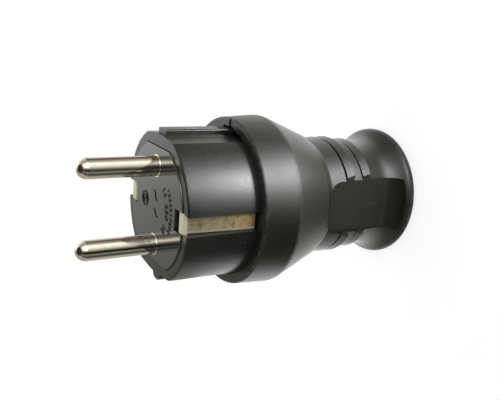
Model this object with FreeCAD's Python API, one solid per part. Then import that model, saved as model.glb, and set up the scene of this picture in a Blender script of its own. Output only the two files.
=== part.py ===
import FreeCAD, Part
import math
import os
from FreeCAD import Vector

# Rewireable type F plug, in millimetres.
# z = 0 is the rear rim on which the plug stands, +z points to the pin tips.
# The two pins lie on the Y axis, the two earth contacts on the X axis.

# Pins
pin_d = 4.8
pin_len = 19.0
pin_pitch = 19.0
pin_gap = 0.08
collar_d = 5.4
collar_proud = 0.05
collar_len = 2.0
block_side = 6.4
block_len = 11.0
block_below_face = 7.0
block_edge_round = 0.4
wire_slot_x = 4.0
wire_slot_y = 3.4
wire_slot_depth = 8.0

# Front of the plug
nose_len = 17.5
spigot_len = 4.5
sleeve_wall = 2.6
flat_wall = 2.95
flat_slope_deg = 6.8
rib_width = 4.2
rib_rise_upper = 0.2
rib_rise_lower = 0.5
rib_setback = 0.75
rib_round_upper = 0.4
rib_round_lower = 1.5
face_edge_round = 0.5

# Contact insert and its seat in the front housing
insert_wall = 2.45
insert_wall_upper = 0.95
insert_wall_lower = 0.45
insert_gap = 0.2
insert_edge_round = 0.25
insert_proud = 0.3
ledge_width = 0.9
ledge_len = 3.0
chamber_gap = 0.25
driver_room = 0.8
driver_hole_r = 3.0
tail_len = 15.0
tail_t = 3.2

# Earth contact strip
strip_t = 0.8
strip_head_w = 4.8
strip_leg_w = 4.2
strip_head_len = 3.3
strip_inset = 2.1
strip_slope = 1.0
strip_bevel_w = 0.65
strip_bevel_h = 0.45
strip_end_gap = 0.5
strip_slot_room = 1.4
strip_gap = 0.1
bridge_depth = 13.0

# Hood, lengths from the rear rim forwards
waist_r = 13.9
rim_len = 2.0
rim_rise = 1.85
rim_taper = 2.15
rim_base_round = 0.5
rim_crown = 1.6
flare_len = 2.0
flare_rise = 2.0
sweep_len = 5.0
neck_len = 4.0
neck_rise = 0.4
band_len = 2.2
band_taper = 0.3
rear_band_rise = 0.35
rear_band_flat_x = 12.25
middle_len = 2.5
middle_r = 14.7
front_band_rise = 0.6
front_band_flat_x = 13.0
groove_w = 0.8
groove_depth = 0.65
grip_len = 4.3
grip_r = 15.2
grip_taper = 0.25
blend_len = 2.2
blend_sag = 0.3
cone_len = 11.4
flange_rear_w = 3.0
flange_front_w = 2.5
flange_len = 9.1
flange_round = 0.6
hood_gap = 0.1

# Inside of the hood
grip_bore_r = 10.0
hood_wall = 2.2
tail_gap = 0.85
shoulder_step = 1.3
entry_wall = 3.0
entry_gap = 1.6
dish_r = 12.0
dish_depth = 1.5

# Thumb pockets in the grip
pocket_half_w = 6.75
pocket_floor_x = 11.9
pocket_corner = 4.4
pocket_front_gap = 1.1
pocket_floor_round = 4.2
pocket_rear_wall = 1.5

# Latches between the front housing and the hood
latch_half_w = 4.5
latch_inset = 1.7
latch_t = 1.4
latch_len = 6.0
hook_len = 1.8
hook_out = 1.0
latch_gap = 0.15
release_slot_x = 0.55
release_slot_w = 2.6
release_slot_depth = 0.3

# Grommet and cord grip
cord_r = 5.0
grommet_flange_w = 2.0
grommet_flange_t = 1.2
grommet_lip_w = 1.0
grommet_lip_t = 1.5
grommet_sleeve_len = 2.5
grommet_wall = 1.2
grommet_edge_round = 0.4
clamp_w = 6.0
clamp_end_t = 2.6
clamp_hump_t = 2.4
clamp_seat_x = 1.5
clamp_gap = 0.2
clamp_screw_room = 2.55
clamp_screw_edge = 2.65
clamp_from_seat = 9.5

# Fasteners
m3_r = 1.5
m3_head_r = 2.75
m3_head_t = 2.0
m3_nut_af = 5.5
m3_nut_t = 2.4
m4_r = 2.0
m4_head_r = 3.4
m4_head_t = 2.4
nut_side = 7.0
nut_t = 3.0
thread_gap = 0.05
hole_gap = 0.15
drive_w = 0.8
drive_depth = 1.0
washer_t = 0.9
wire_plate_t = 1.0
plate_travel = 0.375

# Sizes of the front, worked outwards from the pins
pin_y = pin_pitch / 2
chamber_side_x = block_side / 2 + m3_head_t + driver_room
chamber_reach = pin_y + block_side / 2 + chamber_gap
insert_r = chamber_reach + insert_wall
insert_upper = chamber_reach + insert_wall_upper
insert_lower = chamber_reach + insert_wall_lower
upper_flat = insert_upper + flat_wall
lower_flat = insert_lower + flat_wall
face_r = insert_r + sleeve_wall
rib_upper_r = face_r + rib_rise_upper
rib_lower_r = face_r + rib_rise_lower
latch_r = face_r - latch_inset
flange_rear_r = face_r + flange_rear_w
flange_front_r = face_r + flange_front_w
strip_front_x = face_r - strip_inset
strip_arm_x = strip_front_x - strip_head_len
strip_slot_x = strip_arm_x - strip_slot_room

# Sizes of the rear, worked outwards from the cord
arch_r = cord_r + clamp_gap
clamp_screw_y = arch_r + clamp_screw_room
tail_half_w = clamp_screw_y + clamp_screw_edge
tail_top_x = -cord_r
tail_bottom_x = tail_top_x - tail_t
entry_r = cord_r + entry_gap
grommet_lip_r = entry_r + grommet_lip_w
grommet_flange_r = entry_r + grommet_flange_w
cone_in = math.hypot(tail_half_w, tail_bottom_x) + tail_gap
cone_end_r = cone_in + hood_wall
shoulder_r = cone_in + shoulder_step
cone_slope = (flange_rear_r - cone_end_r) / cone_len
neck_front_r = waist_r + neck_rise
rear_band_r = neck_front_r + rear_band_rise
front_band_r = middle_r + front_band_rise
grip_front_r = grip_r - grip_taper
flare_r = waist_r + flare_rise
rim_r = flare_r + rim_rise
rim_base_r = rim_r - rim_taper

# Stations along the axis, each stacked on the lengths above
z_rim = rim_len
z_flare = z_rim + flare_len
z_sweep = z_flare + sweep_len
z_neck = z_sweep + neck_len
z_rear_band = z_neck + band_len
z_middle = z_rear_band + groove_w
z_front_band = z_middle + middle_len
z_groove = z_front_band + band_len
z_grip = z_groove + groove_w
z_blend = z_grip + grip_len
z_cone = z_blend + blend_len
z_flange_rear = z_cone + cone_len
z_flange = z_flange_rear + flange_len
z_face = z_flange + nose_len
z_front = z_face + insert_proud
z_seat = z_flange - spigot_len
z_ledge = z_seat + ledge_len
z_bridge = z_face - bridge_depth
z_block_top = z_face - block_below_face
z_block_base = z_block_top - block_len
z_clamp = z_seat - clamp_from_seat
z_tip = z_seat - latch_len
fine = 0.001


def path_wire(start, *steps):
    """Closed wire in the XZ plane; a step is a corner, or (middle, end) of an arc."""
    edges = []
    here = start
    for step in steps + (start,):
        if isinstance(step[0], tuple):
            mid, end = step
            points = [Vector(p[0], 0, p[1]) for p in (here, mid, end)]
            edges.append(Part.Arc(*points).toShape())
            here = end
        elif step != here:
            edges.append(Part.makeLine(Vector(here[0], 0, here[1]), Vector(step[0], 0, step[1])))
            here = step
    return Part.Wire(edges)


def eased(before, corner, after, trim):
    """Steps of a path that round a corner off: a straight up to it and a tangent arc."""
    tip = Vector(corner[0], 0, corner[1])
    back = (Vector(before[0], 0, before[1]) - tip).normalize()
    ahead = (Vector(after[0], 0, after[1]) - tip).normalize()
    half = back.getAngle(ahead) / 2
    start = tip + back * trim
    end = tip + ahead * trim
    mid = tip + (back + ahead).normalize() * (trim / math.cos(half) - trim * math.tan(half))
    return (start.x, start.z), ((mid.x, mid.z), (end.x, end.z))


def turned(*profile):
    """Solid of revolution about the plug axis."""
    return Part.Face(path_wire(*profile)).revolve(Vector(0, 0, 0), Vector(0, 0, 1), 360)


def block(x0, x1, y0, y1, z0, z1):
    return Part.makeBox(x1 - x0, y1 - y0, z1 - z0, Vector(x0, y0, z0))


def rod(r, z0, z1, x=0.0, y=0.0):
    return Part.makeCylinder(r, z1 - z0, Vector(x, y, z0))


def rod_x(r, x0, x1, y, z):
    return Part.makeCylinder(r, x1 - x0, Vector(x0, y, z), Vector(1, 0, 0))


def prism_z(points, z0, z1):
    """Polygon in the XY plane, raised from z0 to z1."""
    wire = Part.makePolygon([Vector(x, y, z0) for x, y in points + points[:1]])
    return Part.Face(wire).extrude(Vector(0, 0, z1 - z0))


def half_turn(shape):
    """Copy of a shape turned by half a turn about the plug axis."""
    copy = shape.copy()
    copy.rotate(Vector(0, 0, 0), Vector(0, 0, 1), 180)
    return copy


def both_sides(shape):
    return shape.fuse(half_turn(shape))


def mirrored_y(shape):
    return shape.mirror(Vector(0, 0, 0), Vector(0, 1, 0))


def fuse_all(first, *others):
    return first.fuse(list(others)).removeSplitter()


def edges_at(shape, z):
    """Edges that lie in the plane at height z."""
    return [e for e in shape.Edges
            if abs(e.BoundBox.ZMin - z) < fine and abs(e.BoundBox.ZMax - z) < fine]


def insert_bar(grow, z0, z1):
    """Round bar with two flats across the Y axis, the insert's outline grown by an offset."""
    r = insert_r + grow
    return rod(r, z0, z1).common(block(-r, r, -insert_lower - grow, insert_upper + grow, z0, z1))


def guide_flat(flat, z0, z1):
    """Material above the upper guide flat, which falls to both sides from the rib."""
    half = rib_width / 2
    low = flat - math.tan(math.radians(flat_slope_deg)) * (face_r - half)
    top = 2 * face_r
    points = [(-face_r, low), (-half, flat), (half, flat), (face_r, low), (face_r, top),
              (-face_r, top)]
    return prism_z(points, z0, z1)


def guide_rib(flat, rib_r, round_r):
    """Rib along the middle of the upper guide flat, with rounded outer corners."""
    z_end = z_face - rib_setback
    root = flat - flat_wall / 2
    rib = block(-rib_width / 2, rib_width / 2, root, rib_r, z_seat, z_end)
    corners = [e for e in rib.Edges
               if e.BoundBox.ZLength > nose_len / 2 and e.CenterOfMass.y > rib_r - fine]
    return rib.makeFillet(round_r, corners)


def latch_finger():
    """Upper latch: a curved finger behind the sleeve with an outward hook."""
    ring = rod(latch_r, z_tip, z_seat).cut(rod(latch_r - latch_t, z_tip, z_seat))
    hook = turned((latch_r - latch_t, z_tip), (latch_r, z_tip),
                  (latch_r + hook_out, z_tip + hook_out), (latch_r + hook_out, z_tip + hook_len),
                  (latch_r - latch_t, z_tip + hook_len))
    window = block(-latch_half_w, latch_half_w, 0, 2 * face_r, z_tip, z_seat)
    return ring.fuse(hook).common(window)


def side_slot():
    """Slot through the sleeve for one leg of the earth strip, wider where its head folds."""
    half_leg = strip_leg_w / 2 + strip_gap
    half_head = strip_head_w / 2 + strip_gap
    leg = block(strip_slot_x, 2 * face_r, -half_leg, half_leg, z_flange, z_face + 1)
    head = block(strip_slot_x, strip_front_x + strip_gap, -half_head, half_head,
                 z_flange, z_face + 1)
    return leg.fuse(head)


def make_front_housing():
    tube = rod(face_r, z_seat, z_face)
    tube = tube.makeFillet(face_edge_round, edges_at(tube, z_face))
    above = guide_flat(upper_flat, z_seat - 1, z_face + 1)
    below = mirrored_y(guide_flat(lower_flat, z_seat - 1, z_face + 1))
    ribs = [guide_rib(upper_flat, rib_upper_r, rib_round_upper),
            mirrored_y(guide_rib(lower_flat, rib_lower_r, rib_round_lower))]
    mouth = insert_bar(insert_gap, z_seat - 1, z_face + 1)
    ledge = insert_bar(ledge_width + insert_gap, z_seat - 1, z_ledge)
    body = tube.cut([above, below]).fuse(ribs).cut([mouth, ledge, both_sides(side_slot())])
    finger = latch_finger()
    return fuse_all(body, finger, mirrored_y(finger))


def strip_leg(z_top, z_end):
    """Outer leg with two bevelled edges, drawn along its slightly outward slope."""
    half = strip_leg_w / 2
    flat = half - strip_bevel_w
    inner = strip_front_x - strip_t
    edge = strip_front_x - strip_bevel_h
    corners = [(inner, half), (inner, -half), (edge, -half), (strip_front_x, -flat),
               (strip_front_x, flat), (edge, half), (inner, half)]
    section = Part.makePolygon([Vector(x, y, z_top) for x, y in corners])
    return Part.Face(section).extrude(Vector(strip_slope, 0, z_end - z_top))


def make_earth_strip():
    """U-shaped strip: bridge inside, arms to the face, folded back over the rim."""
    half = strip_head_w / 2
    z_fold = z_face - strip_t
    z_end = z_flange + strip_end_gap
    foot = (strip_arm_x, z_bridge - strip_t)
    inner = (strip_arm_x, z_face)
    outer = (strip_front_x, z_face)
    lip = (strip_front_x, z_fold)
    hook = Part.Face(path_wire(
        foot,
        *eased(foot, inner, outer, strip_t),
        *eased(inner, outer, lip, strip_t),
        (strip_front_x - strip_t, z_fold),
        (strip_arm_x + strip_t, z_fold),
        (strip_arm_x + strip_t, z_bridge - strip_t)))
    hook.translate(Vector(0, -half, 0))
    arm = hook.extrude(Vector(0, strip_head_w, 0)).fuse(strip_leg(z_fold, z_end))
    reach = strip_arm_x + strip_t
    bridge = block(-reach, reach, -half, half, z_bridge - strip_t, z_bridge)
    strip = fuse_all(both_sides(arm), bridge)
    return strip.cut(rod(m4_r + hole_gap, z_bridge - 2 * strip_t, z_bridge + strip_t))


def make_pin():
    """Upper pin: round tip, shank, collar at the face and a box terminal behind."""
    tip_r = pin_d / 2
    z_end = z_face + pin_len
    shank = rod(tip_r, z_block_top, z_end - tip_r, 0, pin_y)
    tip = Part.makeSphere(tip_r, Vector(0, pin_y, z_end - tip_r))
    z_collar = z_front + collar_proud
    collar = rod(collar_d / 2, z_collar - collar_len, z_collar, 0, pin_y)
    half = block_side / 2
    head = block(-half, half, pin_y - half, pin_y + half, z_block_base, z_block_top)
    edges = [e for e in head.Edges if e.BoundBox.ZLength > block_len / 2]
    head = head.makeFillet(block_edge_round, edges)
    slot = block(-wire_slot_x / 2, wire_slot_x / 2, pin_y - wire_slot_y / 2,
                 pin_y + wire_slot_y / 2, z_block_base - 1, z_block_base + wire_slot_depth)
    tapped = rod_x(m3_r + thread_gap, 0, half + 1, pin_y, z_terminal())
    return fuse_all(shank, tip, collar, head).cut([slot, tapped])


def z_terminal():
    """Height of the terminal screws, half way along the wire slot."""
    return z_block_base + wire_slot_depth / 2


def screw_x(x_tip, x_head, r, head_r, head_t, y, z):
    """Pan head screw along X with a slotted drive, its head on the +X side."""
    shank = rod_x(r, x_tip, x_head, y, z)
    head = rod_x(head_r, x_head, x_head + head_t, y, z)
    outer = [e for e in head.Edges
             if abs(e.CenterOfMass.x - x_head - head_t) < fine and e.Length > head_r]
    head = head.makeFillet(head_t / 3, outer)
    slot = block(x_head + head_t - drive_depth, x_head + head_t + 1, y - drive_w / 2,
                 y + drive_w / 2, z - head_r - 1, z + head_r + 1)
    return fuse_all(shank, head).cut(slot)


def make_terminal_screw():
    x_tip = wire_slot_x / 2 - plate_travel
    return screw_x(x_tip, block_side / 2, m3_r, m3_head_r, m3_head_t, pin_y, z_terminal())


def make_wire_plate():
    """Pressure plate in the wire slot, under the end of the terminal screw."""
    x_top = wire_slot_x / 2 - plate_travel
    half_y = wire_slot_y / 2 - thread_gap
    half_z = wire_slot_depth / 2 - hole_gap
    return block(x_top - wire_plate_t, x_top, pin_y - half_y, pin_y + half_y,
                 z_terminal() - half_z, z_terminal() + half_z)


def pin_chamber():
    """Room for one pin's terminal block and screw head, with its driver hole."""
    half = block_side / 2 + chamber_gap
    room = block(-half, chamber_side_x, pin_y - half, pin_y + half, z_seat - 1, z_block_top)
    driver = rod_x(driver_hole_r, chamber_side_x - 1, 2 * face_r, pin_y, z_terminal())
    shank = rod(pin_d / 2 + pin_gap, z_block_top - 1, z_face + 1, 0, pin_y)
    z_collar = z_front + collar_proud - collar_len
    seat = rod(collar_d / 2 + pin_gap, z_collar, z_front + 1, 0, pin_y)
    return room.fuse([driver, shank, seat])


def earth_chamber():
    """Room for the bridge, the nut pocket in front of it and the slots of the two arms."""
    half_nut = nut_side / 2 + chamber_gap
    half_head = strip_head_w / 2 + strip_gap
    reach = strip_arm_x + strip_t + strip_gap
    room = block(-reach, reach, -half_nut, half_nut, z_seat - 1, z_bridge)
    nut = block(-half_nut, half_nut, -half_nut, half_nut, z_bridge - 1, z_bridge + nut_t + hole_gap)
    arm = block(strip_slot_x, reach, -half_head, half_head, z_bridge - 1, z_face + 1)
    z_fold = z_face - strip_t
    fold = block(strip_slot_x, 2 * face_r, -half_head, half_head, z_fold, z_face + 1)
    half_leg = strip_leg_w / 2 + strip_gap
    leg = block(strip_front_x - strip_t, 2 * face_r, -half_leg, half_leg, z_ledge, z_face + 1)
    return room.fuse([nut, both_sides(arm.fuse([fold, leg]))])


def insert_tail():
    """Tail behind the insert: a trough for the cord and two posts for the clamp."""
    z_end = z_seat - tail_len
    base = block(tail_bottom_x, tail_top_x, -tail_half_w, tail_half_w, z_end, z_ledge)
    post_in = arch_r + hole_gap
    half_w = clamp_w / 2
    post = block(tail_bottom_x, clamp_seat_x, post_in, tail_half_w, z_clamp - half_w, z_clamp + half_w)
    tail = base.fuse([post, mirrored_y(post)])
    hollow = rod(arch_r, z_end - 1, z_seat)
    holes = [hollow]
    for y in (clamp_screw_y, -clamp_screw_y):
        holes.append(rod_x(m3_r + hole_gap, tail_bottom_x - 1, clamp_seat_x + 1, y, z_clamp))
        holes.append(hex_nut_blank(y, thread_gap))
    return tail.cut(holes)


def hex_nut_blank(y, gap):
    """Hexagon across the X axis for a clamp nut, or with a gap its pocket in the tail."""
    corner_r = (m3_nut_af / 2 + gap) / math.cos(math.pi / 6)
    turns = [math.pi / 3 * k for k in range(6)]
    points = [Vector(tail_bottom_x, y + corner_r * math.cos(a), z_clamp + corner_r * math.sin(a))
              for a in turns]
    wire = Part.makePolygon(points + points[:1])
    return Part.Face(wire).extrude(Vector(m3_nut_t + gap, 0, 0))


def make_contact_insert():
    bar = rod(insert_r, z_ledge, z_front)
    bar = bar.makeFillet(insert_edge_round, edges_at(bar, z_front))
    slab = block(-2 * insert_r, 2 * insert_r, -insert_lower, insert_upper, z_ledge, z_front)
    slab = slab.makeFillet(insert_edge_round, edges_at(slab, z_front))
    ledge = insert_bar(ledge_width, z_seat, z_ledge)
    solid = bar.common(slab).fuse([ledge, insert_tail()])
    chamber = pin_chamber()
    lower = half_turn(chamber)
    return solid.cut([chamber, lower, earth_chamber()]).removeSplitter()


def make_earth_nut():
    half = nut_side / 2
    nut = block(-half, half, -half, half, z_bridge, z_bridge + nut_t)
    return nut.cut(rod(m4_r + thread_gap, z_bridge - 1, z_bridge + nut_t + 1))


def make_earth_wire_plate():
    """Square plate with two turned-down edges that keep the earth wire under the screw."""
    half = nut_side / 2
    top = z_bridge - strip_t
    plate = block(-half, half, -half, half, top - wire_plate_t, top)
    for side in (-1, 1):
        mark = Part.makeCylinder(wire_plate_t / 3, nut_side + 2,
                                 Vector(side * nut_side / 3, -half - 1, top), Vector(0, 1, 0))
        plate = plate.cut(mark)
    return plate.cut(rod(m4_r + hole_gap, top - 2 * wire_plate_t, top + 1))


def z_earth_head():
    """Under side of the earth screw's head, on the washer and the wire plate."""
    return z_bridge - strip_t - wire_plate_t - washer_t


def make_earth_washer():
    """Split spring washer under the head of the earth screw."""
    z0 = z_earth_head()
    outer = m4_head_r - hole_gap
    ring = rod(outer, z0, z0 + washer_t).cut(rod(m4_r + hole_gap, z0 - 1, z0 + washer_t + 1))
    return ring.cut(block(0, 2 * outer, -drive_w / 4, drive_w / 4, z0 - 1, z0 + washer_t + 1))


def make_earth_screw():
    z0 = z_earth_head()
    head = rod(m4_head_r, z0 - m4_head_t, z0)
    head = head.makeFillet(m4_head_t / 3, edges_at(head, z0 - m4_head_t))
    shank = rod(m4_r, z0, z_bridge + nut_t)
    slot = block(-m4_head_r - 1, m4_head_r + 1, -drive_w / 2, drive_w / 2,
                 z0 - m4_head_t - 1, z0 - m4_head_t + drive_depth)
    return fuse_all(head, shank).cut(slot)


def make_cord_clamp():
    """Saddle of the cord grip: two flat ends for the screws and a hump over the cord."""
    half_w = clamp_w / 2
    x_end = clamp_seat_x + clamp_end_t
    hump_r = arch_r + clamp_hump_t
    ends = block(clamp_seat_x, x_end, -tail_half_w, tail_half_w, z_clamp - half_w, z_clamp + half_w)
    hump = rod(hump_r, z_clamp - half_w, z_clamp + half_w)
    window = block(clamp_seat_x, hump_r, -arch_r, arch_r, z_clamp - half_w, z_clamp + half_w)
    hump = hump.common(window)
    saddle = fuse_all(ends, hump)
    holes = [rod(arch_r, z_clamp - clamp_w, z_clamp + clamp_w)]
    for y in (clamp_screw_y, -clamp_screw_y):
        holes.append(rod_x(m3_r + hole_gap, clamp_seat_x - 1, x_end + 1, y, z_clamp))
    return saddle.cut(holes)


def make_clamp_screw():
    return screw_x(tail_bottom_x + hole_gap, clamp_seat_x + clamp_end_t, m3_r,
                   clamp_head_r(), m3_head_t, clamp_screw_y, z_clamp)


def clamp_head_r():
    """Head radius that stays beside the saddle's hump."""
    return min(m3_head_r, clamp_screw_room - hole_gap)


def make_clamp_nut():
    nut = hex_nut_blank(clamp_screw_y, 0)
    return nut.cut(rod_x(m3_r + thread_gap, tail_bottom_x - 1, 0, clamp_screw_y, z_clamp))


def make_grommet():
    """Rubber sleeve with a flange outside and a lip inside the entry wall."""
    z0 = dish_depth - grommet_flange_t
    z1 = dish_depth
    z2 = dish_depth + entry_wall
    z3 = z2 + grommet_lip_t
    z4 = z3 + grommet_sleeve_len
    neck = entry_r - hood_gap
    start = (cord_r, z0)
    brim = (grommet_flange_r, z1)
    return turned(start, *eased(start, (grommet_flange_r, z0), brim, grommet_edge_round),
                  brim, (neck, z1), (neck, z2), (grommet_lip_r, z2),
                  (cord_r + grommet_wall, z3), (cord_r + grommet_wall / 2, z4), (cord_r, z4))


def hood_outline():
    """Turned outline of the hood from the rear rim to the flange."""
    rear_low = rear_band_r - band_taper
    front_low = front_band_r - band_taper
    sweep_r = (sweep_len ** 2 + flare_rise ** 2) / (2 * flare_rise)
    sweep_mid = waist_r + sweep_r - math.sqrt(sweep_r ** 2 - (sweep_len / 2) ** 2)
    neck_mid = waist_r + (neck_front_r - waist_r) / 4
    blend_mid = grip_front_r + (cone_end_r - grip_front_r) * blend_sag
    base = (rim_base_r, 0)
    crown = (rim_r, z_rim)
    flare = (flare_r, z_flare)
    cone = (cone_end_r, z_cone)
    heel = (flange_rear_r, z_flange_rear)
    toe = (flange_front_r, z_flange)
    return turned(
        (0, 0), *eased((0, 0), base, crown, rim_base_round), *eased(base, crown, flare, rim_crown),
        flare, ((sweep_mid, z_flare + sweep_len / 2), (waist_r, z_sweep)),
        ((neck_mid, z_sweep + neck_len / 2), (neck_front_r, z_neck)),
        (rear_band_r, z_neck), (rear_low, z_rear_band),
        (rear_low - groove_depth, z_rear_band), (rear_low - groove_depth, z_middle),
        (middle_r, z_middle), (middle_r, z_front_band),
        (front_band_r, z_front_band), (front_low, z_groove),
        (front_low - groove_depth, z_groove), (front_low - groove_depth, z_grip),
        (grip_r, z_grip), (grip_front_r, z_blend),
        ((blend_mid, z_blend + blend_len / 2), cone),
        *eased(cone, heel, toe, flange_round), *eased(heel, toe, (0, z_flange), flange_round),
        (0, z_flange))


def hood_cavity():
    """Inside of the hood: dish, cord entry, wiring room and the bore of the front housing."""
    z_room = dish_depth + entry_wall
    z_wide = z_cone + shoulder_step / cone_slope
    return turned(
        (0, -1), (dish_r, -1), (dish_r, dish_depth), (entry_r, dish_depth), (entry_r, z_room),
        (grommet_flange_r, z_room), (grip_bore_r, z_room + (grip_bore_r - grommet_flange_r)),
        (grip_bore_r, z_blend), (cone_in, z_cone), (shoulder_r, z_wide), (shoulder_r, z_seat),
        (face_r + hood_gap, z_seat), (face_r + hood_gap, z_flange + 1), (0, z_flange + 1))


def thumb_pocket():
    """Pocket on the +X side: level floor, round front corners, floor curving up at the rear."""
    z_front = z_cone - pocket_front_gap
    z_back = z_rim + pocket_rear_wall
    x_out = 2 * rim_r
    r = pocket_corner
    k = r * (1 - math.sqrt(0.5))
    w = pocket_half_w
    corners = [Vector(0, -w, z_front - r), Vector(0, -w, z_back), Vector(0, w, z_back),
               Vector(0, w, z_front - r)]
    right = Part.Arc(corners[3], Vector(0, w - k, z_front - k), Vector(0, w - r, z_front))
    left = Part.Arc(Vector(0, r - w, z_front), Vector(0, k - w, z_front - k), corners[0])
    top = Part.makeLine(Vector(0, w - r, z_front), Vector(0, r - w, z_front))
    outline = Part.Wire([Part.makePolygon(corners), right.toShape(), top, left.toShape()])
    plan = Part.Face(outline).extrude(Vector(x_out, 0, 0))
    f = pocket_floor_round
    b = f * (1 - math.sqrt(0.5))
    side = Part.Face(path_wire(
        (pocket_floor_x, z_front + 1), (pocket_floor_x, z_back + f),
        ((pocket_floor_x + b, z_back + b), (pocket_floor_x + f, z_back)),
        (x_out, z_back), (x_out, z_front + 1)))
    side.translate(Vector(0, -2 * w, 0))
    return plan.common(side.extrude(Vector(0, 4 * w, 0))).fuse(band_flats())


def band_flats():
    """Room above the flat ends of the two raised bands beside the pocket."""
    return [block(rear_band_flat_x, 2 * rim_r, -rim_r, rim_r, z_neck, z_rear_band),
            block(front_band_flat_x, 2 * rim_r, -rim_r, rim_r, z_front_band, z_groove)]


def latch_room():
    """Recess in the hood for the upper latch finger and its hook."""
    half = latch_half_w + latch_gap
    shaft = rod(latch_r + latch_gap, z_tip - latch_gap, z_seat)
    hook = rod(latch_r + hook_out + latch_gap, z_tip - latch_gap, z_tip + hook_len + latch_gap)
    window = block(-half, half, 0, 2 * face_r, z_tip - 1, z_seat)
    return shaft.fuse(hook).common(window)


def rib_keyway():
    """Keyway in the hood's bore for either guide rib."""
    half = rib_width / 2 + hood_gap
    return block(-half, half, 0, rib_lower_r + hood_gap, z_seat, z_flange + 1)


def make_hood():
    hood = hood_outline().cut(hood_cavity())
    pocket = thumb_pocket()
    hood = hood.cut([pocket, half_turn(pocket)])
    room = latch_room().fuse(rib_keyway())
    hood = hood.cut([room, mirrored_y(room)])
    slot = block(release_slot_x, release_slot_x + release_slot_w, face_r, 2 * face_r,
                 z_flange - release_slot_depth, z_flange + 1)
    return hood.cut(slot).removeSplitter()


def write(name, shape):
    solids = shape.Solids
    shape = solids[0] if len(solids) == 1 else shape
    shape.exportStep("parts/" + name + ".step")
    print(name, "solids", len(solids), "valid", shape.isValid(), "volume %.1f" % shape.Volume)


def main():
    os.makedirs("parts", exist_ok=True)
    pieces = {
        "hood": make_hood(),
        "front_housing": make_front_housing(),
        "contact_insert": make_contact_insert(),
        "earth_strip": make_earth_strip(),
        "earth_nut": make_earth_nut(),
        "earth_wire_plate": make_earth_wire_plate(),
        "earth_washer": make_earth_washer(),
        "earth_screw": make_earth_screw(),
        "cord_clamp": make_cord_clamp(),
        "cable_grommet": make_grommet(),
    }
    for name, upper, turn in (("pin", make_pin(), half_turn),
                              ("terminal_screw", make_terminal_screw(), half_turn),
                              ("wire_plate", make_wire_plate(), half_turn),
                              ("clamp_screw", make_clamp_screw(), mirrored_y),
                              ("clamp_nut", make_clamp_nut(), mirrored_y)):
        pieces[name + "_upper"] = upper
        pieces[name + "_lower"] = turn(upper)
    for name, shape in pieces.items():
        write(name, shape)


main()
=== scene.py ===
# %% [markdown]
# # A type F plug and its portrait
# The plug comes in as a frame of separate solids: a hood that is held in the hand, a front housing
# that enters the socket, a contact insert with two pins, and the screws and plates inside. Nothing
# is moved here. This lesson gives each piece the surface that the real one has, adds what is too
# fine for the solids, and then sets up the floor, the lamps and the camera.

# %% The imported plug
import math
import bmesh
import bpy
from mathutils import Matrix, Vector


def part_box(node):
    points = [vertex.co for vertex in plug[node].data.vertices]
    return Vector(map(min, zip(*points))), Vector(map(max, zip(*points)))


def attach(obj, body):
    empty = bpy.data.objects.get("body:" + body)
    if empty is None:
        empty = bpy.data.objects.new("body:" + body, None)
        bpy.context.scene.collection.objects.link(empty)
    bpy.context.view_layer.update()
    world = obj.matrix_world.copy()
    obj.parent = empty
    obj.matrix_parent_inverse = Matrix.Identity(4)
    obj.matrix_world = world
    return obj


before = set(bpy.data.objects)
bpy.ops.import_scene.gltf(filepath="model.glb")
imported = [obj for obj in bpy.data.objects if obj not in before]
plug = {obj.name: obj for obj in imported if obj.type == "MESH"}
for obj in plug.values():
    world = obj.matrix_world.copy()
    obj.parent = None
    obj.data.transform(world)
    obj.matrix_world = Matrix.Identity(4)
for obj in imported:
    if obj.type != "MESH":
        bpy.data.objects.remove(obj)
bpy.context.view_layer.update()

MM = 0.001
print("pieces in the frame:", len(plug))

# %% [markdown]
# ## Sizes that the finishes need
# Wear sits on edges and dirt in corners, so the finishes have to know where these are. They could
# be typed in, but measuring the solids keeps most of them right if the plug is ever made larger.
# The high corner of the box around a piece is enough for a turned shape. All sizes here are in
# millimetres: only the flange's depth and the rear rim's place have to be typed in.

# %% Where the edges are
hood_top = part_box("hood")[1] / MM
sleeve_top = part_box("front_housing")[1] / MM
insert_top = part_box("contact_insert")[1] / MM
flange_z, flange_r = hood_top.z, hood_top.x
face_z = sleeve_top.z
flange_deep = 9.4
rim_z, rim_r = 2.0, 17.1
print("flange at %.1f mm, face at %.1f mm" % (flange_z, face_z))

# %% [markdown]
# ## Sums on sockets
# A finish is a set of small sums: a speckle times a mask, one minus a scratch. Wiring each Math
# node by hand hides that sum in a tangle. The class below wraps one socket, and Python's own
# operators then add the Math nodes, so that a finish reads like the sum that it is. Its method
# `node` adds any other node: the type comes first, then the sockets, and the settings by name.

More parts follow.
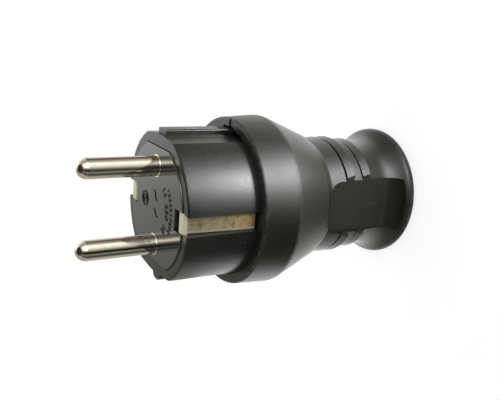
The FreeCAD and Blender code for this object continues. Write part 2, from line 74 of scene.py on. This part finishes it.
# %% The Signal class
class Signal:
    """What comes out of one socket of a material. Sums on it add Math nodes."""

    def __init__(self, tree, socket=None):
        self.tree = tree
        self.socket = socket

    def node(self, kind, sockets=None, output=0, stops=None, **settings):
        """Adds a node. Settings are set first, then each socket gets its value or link."""
        made = self.tree.nodes.new(kind)
        for name, value in settings.items():
            setattr(made, name, value)
        if stops:
            ramp = made.color_ramp.elements
            while len(ramp) < len(stops):
                ramp.new(0.5)
            for stop, (place, colour) in zip(ramp, stops):
                stop.position = place
                stop.color = (*colour, 1.0)
        for name, value in (sockets or {}).items():
            self.feed(made.inputs[name], value)
        return Signal(self.tree, made.outputs[output])

    def feed(self, socket, value):
        """Links a signal to a socket, or sets any other value on it."""
        if isinstance(value, Signal):
            self.tree.links.new(value.socket, socket)
        else:
            socket.default_value = value

    def maths(self, operation, first, second=0.0):
        return self.node("ShaderNodeMath", {0: first, 1: second}, operation=operation)

    def __add__(self, other):
        return self.maths("ADD", self, other)

    def __radd__(self, other):
        return self.maths("ADD", other, self)

    def __sub__(self, other):
        return self.maths("SUBTRACT", self, other)

    def __rsub__(self, other):
        return self.maths("SUBTRACT", other, self)

    def __mul__(self, other):
        return self.maths("MULTIPLY", self, other)

    def __truediv__(self, other):
        return self.maths("DIVIDE", self, other)

    def __pow__(self, other):
        return self.maths("POWER", self, other)

    def __rpow__(self, other):
        return self.maths("POWER", other, self)

    def __abs__(self):
        return self.maths("ABSOLUTE", self)

    def most(self, other):
        """The larger of two masks, so that marks laid over each other do not add up."""
        return self.maths("MAXIMUM", self, other)

    def step(self, low, high):
        """0 below low, 1 above high, and a soft slope between them."""
        return self.node("ShaderNodeMapRange", {"Value": self, "From Min": low, "From Max": high},
                         interpolation_type="SMOOTHSTEP")


print("Signal can add, subtract, multiply, divide and step")

# %% [markdown]
# ## Colours and places
# A Math node turns a colour grey, so two colours are blended by a Mix node. Every pattern is laid
# out in the plug's own millimetres: the object coordinates of a piece are metres in the common
# frame, and one scaling turns them into millimetres, so a size of 0.2 means a fifth of a
# millimetre wherever it is used.

# %% Blends and patterns
def blend(mask, under, over):
    """The under colour where the mask is 0, the over colour where it is 1."""
    colours = {}
    for socket, colour in ((6, under), (7, over)):
        colours[socket] = colour if isinstance(colour, Signal) else (*colour, 1.0)
    return mask.node("ShaderNodeMix", {0: mask, **colours}, output=2, data_type="RGBA")


def millimetres(paint, stretch=(1.0, 1.0, 1.0), turn=(0.0, 0.0, 0.0)):
    """The place on the plug in millimetres, stretched or turned for a pattern with a direction."""
    place = paint.node("ShaderNodeTexCoord", output="Object")
    scale = tuple(s / MM for s in stretch)
    turned = place.node("ShaderNodeMapping", {"Vector": place, "Rotation": turn})
    return turned.node("ShaderNodeVectorMath", {0: turned, 1: scale}, operation="MULTIPLY")


def cloud(place, size, detail=2.0, roughness=0.5, warp=0.0):
    """Soft noise from 0 to 1 whose lumps are about `size` millimetres across."""
    return place.node("ShaderNodeTexNoise", {
        "Vector": place, "Scale": 1.0 / size, "Detail": detail, "Roughness": roughness,
        "Distortion": warp})


def specks(place, spacing, radius, share):
    """Round spots: one may sit in each cell of `spacing` millimetres, and a share of them do."""
    cell = place.node("ShaderNodeTexVoronoi", {"Vector": place, "Scale": 1.0 / spacing})
    tint = cell.node("ShaderNodeTexVoronoi", {"Vector": place, "Scale": 1.0 / spacing},
                     output="Color")
    draw = tint.node("ShaderNodeSeparateColor", {0: tint}, output=0)
    size = tint.node("ShaderNodeSeparateColor", {0: tint}, output=1)
    reach = (size * 0.7 + 0.3) * (radius / spacing)
    spot = 1.0 - (cell / reach).step(0.6, 1.0)
    return spot * draw.step(1.0 - share, 1.0 - share + 0.02)


def scratches(paint, across, along, turn, share):
    """Hairlines: noise drawn out along one direction and cut where it passes its middle."""
    place = millimetres(paint, (1.0 / across, 1.0 / across, 1.0 / along), turn)
    line = 1.0 - abs(cloud(place, 1.0, 1.0) - 0.5).step(0.0, 0.006)
    return line * cloud(millimetres(paint), 5.0, 1.0).step(1.0 - share, 1.0 - share + 0.06)


def radius_mm(paint):
    """Distance from the plug's axis in millimetres."""
    place = millimetres(paint)
    flat = place.node("ShaderNodeVectorMath", {0: place, 1: (1.0, 1.0, 0.0)}, operation="MULTIPLY")
    return flat.node("ShaderNodeVectorMath", {0: flat}, output="Value", operation="LENGTH")


def coordinate(paint, axis):
    """x, y or z on the plug in millimetres."""
    place = millimetres(paint)
    return place.node("ShaderNodeSeparateXYZ", {0: place}, output=axis)


def hill(value, centre, width):
    """A bell on `centre` that has fallen to a half at `width` from it."""
    return 0.5 ** (((value - centre) / width) ** 2.0)


def near(value, centre, width):
    """1 on a line at `centre`, fading to 0 at `width` from it."""
    return 1.0 - abs(value - centre).step(0.0, width)


print("patterns: cloud, specks, scratches and lines near an edge")

# %% [markdown]
# ## One way to finish a piece
# Every surface here ends in one Principled shader. What is the same all over, such as how metallic
# a pin is, is set on the shader itself. What varies is linked: colour, roughness and the bump that
# stands for grain too fine to model. A bump's depth is given in millimetres, so a fine sand of
# 3 microns is written as 0.003.

# %% The finish helper
finishes = {}


def finish(name, colour, roughness, heights=(), **others):
    """Fills in a material. Heights are pairs of a pattern and its depth in millimetres."""
    paint = Signal(finishes[name].node_tree)
    shader = paint.tree.nodes["Principled BSDF"]
    paint.feed(shader.inputs["Base Color"], colour)
    paint.feed(shader.inputs["Roughness"], roughness)
    for socket, value in others.items():
        paint.feed(shader.inputs[socket.replace("_", " ")], value)
    relief = None
    for pattern, depth in heights:
        sockets = {"Height": pattern, "Distance": depth * MM, "Strength": 1.0}
        if relief:
            sockets["Normal"] = relief
        relief = paint.node("ShaderNodeBump", sockets, output="Normal")
    if relief:
        paint.feed(shader.inputs["Normal"], relief)
    print("finished", name)


def begin(name):
    """A new material with its empty node tree, ready for patterns."""
    material = bpy.data.materials.new(name)
    material.use_nodes = True
    finishes[name] = material
    return Signal(material.node_tree)


# %% [markdown]
# ## Hood plastic
# The hood is moulded in a tough black plastic with a satin skin. Under a lamp it shows a wide soft
# light band, small specks of dust, and a few pale rubs where it has been dropped or dragged. The
# skin could be one even roughness, but then it looks like a drawing. Slow clouds in the roughness
# and a fine sand in the bump break the light band up as the real skin does.

# %% Hood plastic
def satin_black(name, tone, base_roughness, dust_share, rub_share, sand_depth, wear=None,
                scratch=None, **others):
    """Black plastic with dust and rubs. A share is how much of the skin they may take."""
    paint = begin(name)
    place = millimetres(paint)
    smudge = cloud(place, 7.0, 3.0, 0.6, 0.4)
    fine = cloud(place, 0.9, 3.0, 0.6)
    sand = cloud(place, 0.16, 2.0, 0.5)
    dust = specks(place, 0.9, 0.11, dust_share)
    crumbs = specks(place, 3.1, 0.24, dust_share)
    rub = scratches(paint, 0.5, 6.0, (0.5, 0.2, 0.4), rub_share).most(
        scratches(paint, 0.4, 5.0, (1.2, 0.5, 1.9), rub_share))
    pale = (dust * 0.55).most(crumbs * 0.6).most(rub * 0.35)
    if wear:
        pale = pale.most(wear(paint) * cloud(place, 1.1, 3.0, 0.7).step(0.42, 0.75) * 0.30)
    if scratch:
        pale = pale.most(scratch(paint) * (smudge + 0.1) * 0.7)
    body = blend(smudge * 0.55 + fine * 0.45, [t * 0.78 for t in tone], [t * 1.22 for t in tone])
    colour = blend(pale, body, (0.22, 0.22, 0.20))
    roughness = base_roughness + (smudge - 0.5) * 0.16 + (fine - 0.5) * 0.10 + pale * 0.15
    finish(name, colour, roughness,
           [(smudge, 0.010), (sand, sand_depth), (pale, 0.006)], **others)


def hood_edges(paint):
    """The edges that take the knocks: both ends of the flange and the rear rim."""
    r, z = radius_mm(paint), coordinate(paint, 2)
    front = near(z, flange_z - 0.3, 0.9) * near(r, flange_r - 0.9, 1.4)
    back = near(z, flange_z - flange_deep, 0.8) * near(r, flange_r - 0.2, 1.0)
    rim = near(z, rim_z, 1.0) * near(r, rim_r, 0.8)
    return front.most(back).most(rim)


def pocket_scratch(paint):
    """One long pale scratch that bends down across the floor of the thumb pocket."""
    x, y, z = (coordinate(paint, axis) for axis in range(3))
    start_z, start_y, middle_z, half_len, half_wide = 14.0, -0.35, 11.0, 4.0, 0.14
    bend = ((start_z - z) / 8.0) ** 2.0 * 1.1
    course = y - start_y + (z - start_z) * 0.02 - bend
    on_the_side = x.step(9.0, 10.0)
    return near(course, 0.0, half_wide) * near(z, middle_z, half_len) * on_the_side


satin_black("hood_black", (0.0090, 0.0092, 0.0078), base_roughness=0.34, dust_share=0.12,
            rub_share=0.34, sand_depth=0.0030, wear=hood_edges, scratch=pocket_scratch,
            Specular_IOR_Level=0.57)

# %% [markdown]
# ## Sleeve and insert plastic
# The sleeve that slides into the socket is the same black but smoother, polished by use, with more
# fine rubs along the way it slides. The insert in its middle is the smoothest of all: its face
# mirrors the pins just where they leave it. The marks that stand on that face are dull.

# %% Sleeve and insert plastic
satin_black("sleeve_black", (0.0085, 0.0088, 0.0078), base_roughness=0.29, dust_share=0.14,
            rub_share=0.36, sand_depth=0.0015, Specular_IOR_Level=0.6)
satin_black("insert_black", (0.022, 0.022, 0.019), base_roughness=0.08, dust_share=0.05,
            rub_share=0.25, sand_depth=0.0015, IOR=1.9)
satin_black("mark_black", (0.007, 0.007, 0.006), base_roughness=0.70, dust_share=0.05,
            rub_share=0.10, sand_depth=0.0030, IOR=1.25)

# %% [markdown]
# ## Nickel on the pins
# The pins are brass with a thin bright coat of nickel. It is a warm grey mirror, with hairlines
# that the springs of the socket have drawn along the pin, and duller in cloudy patches where hands
# have touched it.

# %% Nickel
def nickel():
    paint = begin("pin_nickel")
    place = millimetres(paint)
    tarnish = cloud(place, 1.6, 4.0, 0.65, 0.6)
    brown_marks = cloud(place, 0.5, 3.0, 0.6).step(0.55, 0.8) * tarnish.step(0.45, 0.7)
    drawn = cloud(millimetres(paint, (6.0, 6.0, 0.25)), 1.0, 2.0)
    colour = blend(tarnish, (0.84, 0.77, 0.675), (0.73, 0.655, 0.54))
    colour = blend(brown_marks * 0.5, colour, (0.34, 0.27, 0.17))
    finish("pin_nickel", colour, 0.05 + drawn * 0.06 + tarnish * 0.05 + brown_marks * 0.12,
           [(drawn, 0.0012), (tarnish, 0.002)], Metallic=1.0)


nickel()

# %% [markdown]
# ## Brass of the earth contact
# The earth contact is a strip of rolled brass with a thin pale coat. Where it folds over the edge
# of the face the coat is still cream, along the leg it is worn to the brass, and near the flange,
# where no spring ever wipes it, it has turned golden. Brown patches lie over all of the leg.
# Painted shade darkens the upper bevel, where the edge of the slot shades it, and the last
# millimetre of the leg before the flange. The lower bevel carries a painted highlight: it is
# painted pale cream.

# %% Contact brass
def contact_brass():
    paint = begin("strip_brass")
    place = millimetres(paint)
    y, z = coordinate(paint, 1), coordinate(paint, 2)
    blotch = cloud(place, 1.5, 4.0, 0.65, 0.8)
    fleck = cloud(place, 0.35, 3.0, 0.6)
    rolled = cloud(millimetres(paint, (5.0, 5.0, 0.3)), 1.0, 2.0)
    leg = 1.0 - z.step(face_z - 1.0, face_z - 0.5)
    aged = 1.0 - z.step(flange_z + 1.0, flange_z + 11.0)
    colour = blend(leg, (0.74, 0.70, 0.52), (0.50, 0.44, 0.28))
    colour = blend(leg * aged * 0.85, colour, (0.72, 0.52, 0.25))
    brown = (blotch * 0.7 + fleck * 0.3).step(0.49, 0.64) * 0.75
    front_patch = near(z, face_z - 3.0, 2.2) * near(y, 0.2, 1.5) * blotch.step(0.42, 0.60)
    # Painted shade: the last millimetre of the leg before the flange is darkened to brown.
    painted_shade_rear_end = near(z, flange_z + 0.6, 1.1) * 0.7
    spot = near(z, flange_z + 7.6, 0.5) * near(y, 0.9, 0.6) * 0.8
    # Painted shade: the upper bevel is darkened to brown where the edge of the slot shades it.
    painted_shade_upper_bevel = y.step(1.1, 1.7) * 0.55
    # This mask holds real brown stains together with the painted shade of the rear end and of the
    # upper bevel.
    brown_marks = front_patch.most(painted_shade_rear_end).most(spot).most(painted_shade_upper_bevel)
    # Painted highlight: the lower bevel is painted pale cream and made less metallic, so that it
    # reads as a bright line.
    painted_highlight_lower_bevel = (0.0 - y).step(1.35, 1.55) * leg
    colour = blend(leg * brown.most(brown_marks), colour, (0.22, 0.14, 0.05))
    colour = blend(painted_highlight_lower_bevel, colour, (0.76, 0.69, 0.50))
    finish("strip_brass", colour, 0.34 + blotch * 0.18 + rolled * 0.1 - painted_highlight_lower_bevel * 0.08,
           [(rolled, 0.002), (blotch, 0.004)], Metallic=0.45 + leg * 0.40 - painted_highlight_lower_bevel * 0.75)


contact_brass()

# %% [markdown]
# ## Zinc steel and rubber
# The screws, nuts and plates are steel with a grey zinc coat, which has a faint crystal grain. The
# grommet is dull black rubber, slightly greyed. They sit inside or at the rear, but the plug is
# looked at from every side, so they get the same care.

# %% Zinc steel and rubber
def zinc_steel():
    paint = begin("screw_zinc")
    place = millimetres(paint)
    crystal_size = 0.625
    spangle = place.node("ShaderNodeTexVoronoi", {"Vector": place, "Scale": 1.0 / crystal_size},
                         output="Color")
    shade = spangle.node("ShaderNodeSeparateColor", {0: spangle}, output=0)
    film = cloud(place, 0.8, 3.0, 0.6)
    colour = blend(shade * 0.6 + film * 0.4, (0.46, 0.47, 0.47), (0.66, 0.66, 0.63))
    finish("screw_zinc", colour, 0.28 + film * 0.2, [(film, 0.003)], Metallic=1.0)


def grommet_rubber():
    paint = begin("grommet_rubber_black")
    place = millimetres(paint)
    bloom = cloud(place, 3.0, 3.0, 0.6)
    pores = cloud(place, 0.2, 2.0)
    colour = blend(bloom, (0.022, 0.022, 0.021), (0.036, 0.035, 0.033))
    finish("grommet_rubber_black", colour, 0.62 + bloom * 0.15,
           [(bloom, 0.01), (pores, 0.006)])


zinc_steel()
grommet_rubber()

# %% [markdown]
# ## Each piece gets its finish
# The solids carry a slot that says what they are made of. One table turns each slot into a finish,
# so no piece can be left out by mistake.

# %% Dressing the solids
wardrobe = {
    "hood_plastic": "hood_black",
    "sleeve_plastic": "sleeve_black",
    "insert_plastic": "insert_black",
    "nickel": "pin_nickel",
    "contact_brass": "strip_brass",
    "zinc_steel": "screw_zinc",
    "grommet_rubber": "grommet_rubber_black",
}
for name, piece in plug.items():
    for slot in piece.material_slots:
        slot.material = finishes[wardrobe[slot.material.name]]
print("dressed", len(plug), "pieces")

# %% [markdown]
# ## Raised numbers on the face
# The face of the insert carries small raised marks from its mould: a ring with a bar, two short
# waves and two arcs of figures. A figure is one text object, turned about the plug's axis to its
# place on the arc, and stands a twentieth of a millimetre proud. The waves and the ring are curves
# with a fine round section, sunk to half of it in the face. All are duller than the face, so they
# read dark against what it mirrors.

# %% Raised numbers
def moulded(name, data, spot, turn=0.0):
    """Puts a raised mark on the face at (x, y) in millimetres."""
    mark = bpy.data.objects.new(name, data)
    mark.location = (spot[0] * MM, spot[1] * MM, insert_top.z * MM)
    mark.rotation_euler.z = turn
    data.materials.append(finishes["mark_black"])
    bpy.context.scene.collection.objects.link(mark)
    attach(mark, "root")
    return mark


def figure_arc(name, figures, radius, start, gap, size, proud=0.05, stroke_gain=0.06):
    """Figures along an arc about the plug's axis, their tops outwards. Angles in degrees."""
    for place, figure in enumerate(figures):
        if figure == " ":
            continue
        letter = bpy.data.curves.new(name, "FONT")
        letter.body = figure
        letter.size = size * MM
        letter.extrude = proud * MM
        letter.offset = stroke_gain * MM
        letter.align_x, letter.align_y = "CENTER", "CENTER"
        around = math.radians(start - gap * place)
        spot = (radius * math.cos(around), radius * math.sin(around))
        moulded("%s_%d" % (name, place), letter, spot, around - math.pi / 2)


def stroke(name, points, spot, turn=0.0, closed=False, depth=0.17):
    """A raised line through points given in millimetres."""
    line = bpy.data.curves.new(name, "CURVE")
    line.dimensions = "3D"
    line.bevel_depth = depth * MM
    line.bevel_resolution = 2
    run = line.splines.new("POLY")
    run.points.add(len(points) - 1)
    for point, (x, y) in zip(run.points, points):
        point.co = (x * MM, y * MM, 0.0, 1.0)
    run.use_cyclic_u = closed
    return moulded(name, line, spot, turn)


def circle(radius, count):
    """Points round a circle."""
    turns = [math.tau * k / count for k in range(count)]
    return [(radius * math.cos(a), radius * math.sin(a)) for a in turns]


def wave(length, height, count):
    """Points along one full swing of a sine."""
    steps = [k / count for k in range(count + 1)]
    return [(length * (t - 0.5), height * math.sin(math.tau * t)) for t in steps]


ring_spot = (-6.1, 0.2)
figure_arc("figure", "16 250 10", radius=6.8, start=46.0, gap=11.0, size=2.5)
figure_arc("small_figure", "1234567890", radius=9.2, start=36.0, gap=6.8, size=1.75)
stroke("mould_ring", circle(1.7, 48), ring_spot, closed=True)
stroke("mould_ring_inner", circle(0.95, 32), ring_spot, closed=True, depth=0.13)
stroke("mould_bar", [(-0.5, -0.4), (0.5, 0.4)], ring_spot)
stroke("mould_wave_upper", wave(2.9, 0.28, 16), (0.1, 2.5), math.radians(-45))
stroke("mould_wave_lower", wave(2.6, 0.25, 16), (0.4, -1.7), math.radians(-33))
print("raised marks on the face")

# %% [markdown]
# ## Floor
# The plug stands on a plain white board that is lit from within, as a photographer's light table
# is, so that the background stays white behind a black object. The board runs out far beyond the
# picture, and its edge lies just outside the sky that is set up further down.

# %% Floor
WHITE = (1.0, 1.0, 1.0, 1.0)


def flat_sheet(name, half, height):
    """A level square sheet that reaches `half` metres to each side."""
    corners = [(-half, -half), (half, -half), (half, half), (-half, half)]
    mesh = bpy.data.meshes.new(name)
    mesh.from_pydata([(x, y, height) for x, y in corners], [], [(0, 1, 2, 3)])
    sheet = bpy.data.objects.new(name, mesh)
    bpy.context.scene.collection.objects.link(sheet)
    return sheet


def floor_board(half):
    board = flat_sheet("floor", half, 0.0)
    grain = cloud(millimetres(begin("floor_white")), 60.0, 2.0)
    finish("floor_white", blend(grain, (0.34, 0.34, 0.34), (0.36, 0.36, 0.36)), 0.9 + grain * 0.05,
           Emission_Color=WHITE, Emission_Strength=0.76)
    board.data.materials.append(finishes["floor_white"])
    return board


board = floor_board(6.0)
print("floor", tuple(board.dimensions))

# %% [markdown]
# ## Light table
# A glossy black body shows no colour of its own: what shapes it is what it mirrors. Its upright
# sides mirror the table all round, so the table is where a photographer works. One bright patch on
# the side of the camera makes the long light band, and a black card beside it makes the deep shade
# under that. Both are drawn here on one sheet by compass bearing and by distance from the plug, and
# only reflections see it, so it leaves the light and the floor as they are.
#
# The distance tells which piece mirrors a spot. The cone and the foot of the grip mirror the
# innermost ring, the rest of the grip the next two, the flange and the rear of the sleeve the
# fourth, and the front of the sleeve, the earth contact and the pins all that lies beyond. Each
# ring is a list of marks: a bearing in degrees and the brightness there.

# %% Light table
def bearing_of(place):
    """Compass bearing round the plug in degrees, from -180 to 180."""
    x = place.node("ShaderNodeSeparateXYZ", {0: place}, output=0)
    y = place.node("ShaderNodeSeparateXYZ", {0: place}, output=1)
    return x.node("ShaderNodeMath", {0: y, 1: x}, operation="ARCTAN2") * math.degrees(1.0)


TABLE_PEAK = 20.0
TABLE_LIFT = 0.0006
DIM = 1.25
DIM_TINT, BRIGHT_TINT = (1.0, 1.01, 0.93), (1.0, 1.01, 1.0)
SCENERY_BLACK = ((0.0, 0.0, 0.0), (0.002, 0.002, 0.002))
CONE_RING = [(-180, 1.2), (-108, 1.8), (-94, 1.6), (-84, 1.2), (-64, 1.15), (-48, 0.5),
             (-28, 0.25), (0, 0.42), (14, 0.5), (28, 0.55), (42, 0.8), (50, 0.8), (62, 0.55),
             (84, 0.75), (108, 1.75), (150, 1.5)]
GRIP_RING = [(-180, 1.2), (-108, 1.6), (-94, 1.4), (-84, 1.05), (-72, 1.1), (-58, 0.3),
             (-40, 0.4), (0, 0.7), (14, 0.9), (26, 3.2), (38, 7.4), (48, 7.2), (60, 3.6),
             (72, 1.3), (84, 0.8), (96, 1.05), (115, 1.45), (150, 1.4)]
BAND_RING = [(-180, 1.2), (-108, 1.6), (-94, 1.4), (-84, 0.9), (-72, 0.9), (-58, 0.15),
             (-38, 0.0), (-12, 0.15), (2, 0.55), (14, 0.8), (26, 3.2), (38, 7.6), (48, 7.2),
             (60, 3.4), (72, 1.1), (84, 0.6), (96, 1.05), (115, 1.3), (150, 1.3)]
SLEEVE_RING = [(-180, 0.9), (-100, 1.7), (-88, 1.3), (-72, 0.25), (-58, 0.0), (-20, 0.0),
               (0, 0.6), (12, 2.3), (24, 6.0), (36, 16.5), (48, 18.5), (60, 6.3), (72, 2.1),
               (86, 0.7), (96, 0.42), (108, 0.9), (130, 0.95), (150, 0.9)]
PIN_RING = [(-180, 0.8), (-115, 0.45), (-92, 0.55), (-74, 0.2), (-57, 0.02), (-42, 0.2),
            (-30, 0.24), (-18, 0.0), (-6, 0.0), (6, 0.2), (30, 0.9), (44, 1.2), (64, 1.45),
            (80, 0.65), (104, 0.22), (125, 0.06), (150, 0.8)]


def glow_round(bearing, marks, peak):
    """Brightness that runs through marks all the way round. Dim marks are slightly warm."""
    stops = []
    for angle, level in marks:
        tint = DIM_TINT if level < DIM else BRIGHT_TINT
        stops.append(((angle + 180.0) / 360.0, [level * part / peak for part in tint]))
    return bearing.node("ShaderNodeValToRGB", {0: bearing / 360.0 + 0.5}, stops=stops)


def hidden_from(panel, *senses):
    """Hides a panel or a lamp from some rays: camera, diffuse, glossy or shadow."""
    for sense in senses:
        setattr(panel, "visible_" + sense, False)
    return panel


def only_mirrored(panel, name, glow, strength):
    """Lights a panel up for reflections alone."""
    grain = cloud(millimetres(glow), 50.0)
    finish(name, blend(grain, *SCENERY_BLACK), 1.0,
           Emission_Strength=strength, Specular_IOR_Level=0.0, Emission_Color=glow)
    panel.data.materials.append(finishes[name])
    return hidden_from(panel, "camera", "diffuse", "shadow")


def light_table(half):
    table = flat_sheet("light_table", half, TABLE_LIFT)
    paint = begin("table_glow")
    bearing, away = bearing_of(millimetres(paint)), radius_mm(paint)
    # The flange mirrors the fourth ring up to 111 mm, the middle of the sleeve from 119 mm on.
    gain = 1.05 - away.step(111.0, 115.0) * 0.45 + away.step(119.0, 126.0) * 1.0
    sleeve_glow = bearing.node("ShaderNodeVectorMath", {
        0: glow_round(bearing, SLEEVE_RING, TABLE_PEAK), "Scale": gain}, operation="SCALE")
    glow = glow_round(bearing, CONE_RING, TABLE_PEAK)
    for inner, ring in (
            (32.0, glow_round(bearing, GRIP_RING, TABLE_PEAK)),
            (48.0, glow_round(bearing, BAND_RING, TABLE_PEAK)),
            (77.0, sleeve_glow),
            (130.0, glow_round(bearing, PIN_RING, TABLE_PEAK))):
        soft = inner * 0.025 + 1.0
        glow = blend(away.step(inner - soft, inner + soft), glow, ring)
    return only_mirrored(table, "table_glow", glow, TABLE_PEAK)


table = light_table(0.9)
print("light table", tuple(table.dimensions))

# %% [markdown]
# ## Tent
# Above the table the room is not the same all round. Behind the plug hangs a white backdrop, which
# greys the face of the insert and rims the pins with light. On the camera's side the light of the
# table's outer ring goes on upwards with one bright upright strip in it. The ceiling is dark, which
# puts the small dark spot on the tips of the pins. A half dome takes all this in one drawing.

# %% Tent
CAMERA_BEARING = 17.6
TENT_PEAK = 8.0
STRIP_BEARING, STRIP_HALF_WIDTH = 42.0, 12.0
CEILING = [level / TENT_PEAK for level in (0.04, 0.035, 0.03)]
BACKDROP = [(-180, 1.5), (-171, 1.3), (-163, 0.58), (-154, 0.38), (-95, 0.45), (0, 0.4),
            (110, 0.45), (145, 0.9), (168, 1.6)]


def half_dome(name, radius):
    """The upper half of a ball round the foot of the plug."""
    mesh = bpy.data.meshes.new(name)
    shell = bmesh.new()
    bmesh.ops.create_uvsphere(shell, u_segments=48, v_segments=24, radius=radius)
    below = [v for v in shell.verts if v.co.z < -MM]
    bmesh.ops.delete(shell, geom=below, context="VERTS")
    shell.to_mesh(mesh)
    shell.free()
    dome = bpy.data.objects.new(name, mesh)
    bpy.context.scene.collection.objects.link(dome)
    return dome


def tent(radius):
    dome = half_dome("tent", radius)
    paint = begin("tent_glow")
    place, height = millimetres(paint), coordinate(paint, 2)
    bearing = bearing_of(place)
    side = math.radians(CAMERA_BEARING)
    towards = place.node("ShaderNodeVectorMath",
                         {0: place, 1: (math.cos(side), math.sin(side), 0.0)},
                         output="Value", operation="DOT_PRODUCT")
    dimmer, out, ceiling = (170.0, 300.0), (430.0, 580.0), (655.0, 745.0)
    fading = (1.0 - height.step(*dimmer) * 0.62) * (1.0 - height.step(*out))
    strip = hill(bearing, STRIP_BEARING, STRIP_HALF_WIDTH) * fading
    room = blend(strip, glow_round(bearing, PIN_RING, TENT_PEAK), WHITE[:3])
    backdrop = glow_round(bearing, BACKDROP, TENT_PEAK)
    glow = blend(towards.step(-40.0, 160.0), backdrop, room)
    glow = blend(height.step(*ceiling), glow, CEILING)
    return only_mirrored(dome, "tent_glow", glow, TENT_PEAK)


dome = tent(0.85)
print("tent", len(dome.data.polygons), "faces")

# %% [markdown]
# ## Sky
# The plug is looked at from every side, and from low down a floor ends in a horizon. A white half
# dome that only the camera sees hides it, if the camera's clipping distance is six metres or more.

# %% Sky
def white_sky(radius):
    dome = half_dome("sky", radius)
    grain = cloud(millimetres(begin("sky_white")), 900.0)
    finish("sky_white", blend(grain, *SCENERY_BLACK), 1.0,
           Emission_Color=WHITE, Emission_Strength=1.05, Specular_IOR_Level=0.0)
    dome.data.materials.append(finishes["sky_white"])
    return hidden_from(dome, "diffuse", "glossy", "shadow")


sky = white_sky(5.9)
print("sky", tuple(sky.dimensions))

# %% [markdown]
# ## Lamps
# The lamps light what is not a mirror: the brass, the dust and the rubbed edges. A soft box stands
# on the side of the camera, a larger one behind the plug lifts the far edges, and an even dim world
# fills the rest. Each lamp is placed by its compass bearing as seen from the plug, which is how a
# photographer thinks of it. No reflection shows the lamps: the table and the tent are there for it.

# %% Lamps
PLUG_MIDDLE = Vector((0.0, 0.0, 0.042))


def soft_box(name, bearing, elevation, distance, size, watts):
    """A round lamp that faces the plug from a bearing and an elevation in degrees."""
    across, up = math.radians(bearing), math.radians(elevation)
    out = Vector((math.cos(across) * math.cos(up), math.sin(across) * math.cos(up), math.sin(up)))
    lamp = bpy.data.lights.new(name, "AREA")
    lamp.shape = "DISK"
    lamp.size = size
    lamp.energy = watts
    box = bpy.data.objects.new(name, lamp)
    box.location = PLUG_MIDDLE + out * distance
    box.rotation_euler = out.to_track_quat("Z", "Y").to_euler()
    bpy.context.scene.collection.objects.link(box)
    return hidden_from(box, "camera", "glossy")


def studio_world(strength):
    world = bpy.data.worlds.new("studio")
    world.use_nodes = True
    background = world.node_tree.nodes["Background"]
    background.inputs["Color"].default_value = WHITE
    background.inputs["Strength"].default_value = strength
    bpy.context.scene.world = world


lamps = [
    soft_box("key_box", bearing=41, elevation=20, distance=0.50, size=0.25, watts=0.6),
    soft_box("rear_box", bearing=150, elevation=25, distance=0.55, size=0.30, watts=0.22),
]
studio_world(0.6)
bpy.context.scene.view_settings.view_transform = "Standard"
print("lamps:", [lamp.name for lamp in lamps])

# %% [markdown]
# ## Camera
# The camera looks down on the plug from the side of the earth contact, turned so that the plug
# lies across the picture. Its place, its upward direction and its lens were worked out from the
# outlines of the pins and of the turned body.

# %% Camera
def portrait_camera(spot, towards, upwards, lens):
    """A camera at a spot. `towards` points from the plug to it, `upwards` is up in the picture."""
    camera = bpy.data.cameras.new("portrait")
    camera.lens = lens
    camera.sensor_width = 36.0
    camera.clip_start = 0.005
    eye = bpy.data.objects.new("portrait", camera)
    side = upwards.cross(towards)
    turn = Matrix((side, upwards, towards)).transposed()
    eye.matrix_world = Matrix.Translation(spot) @ turn.to_4x4()
    bpy.context.scene.collection.objects.link(eye)
    bpy.context.scene.camera = eye
    return eye


eye = portrait_camera(spot=Vector((0.140109, 0.043984, 0.124574)),
                      towards=Vector((0.827785, 0.262485, 0.495856)).normalized(),
                      upwards=Vector((-0.266272, 0.961732, -0.064584)).normalized(),
                      lens=48.25)
print("camera at", [round(c / MM, 1) for c in eye.location])
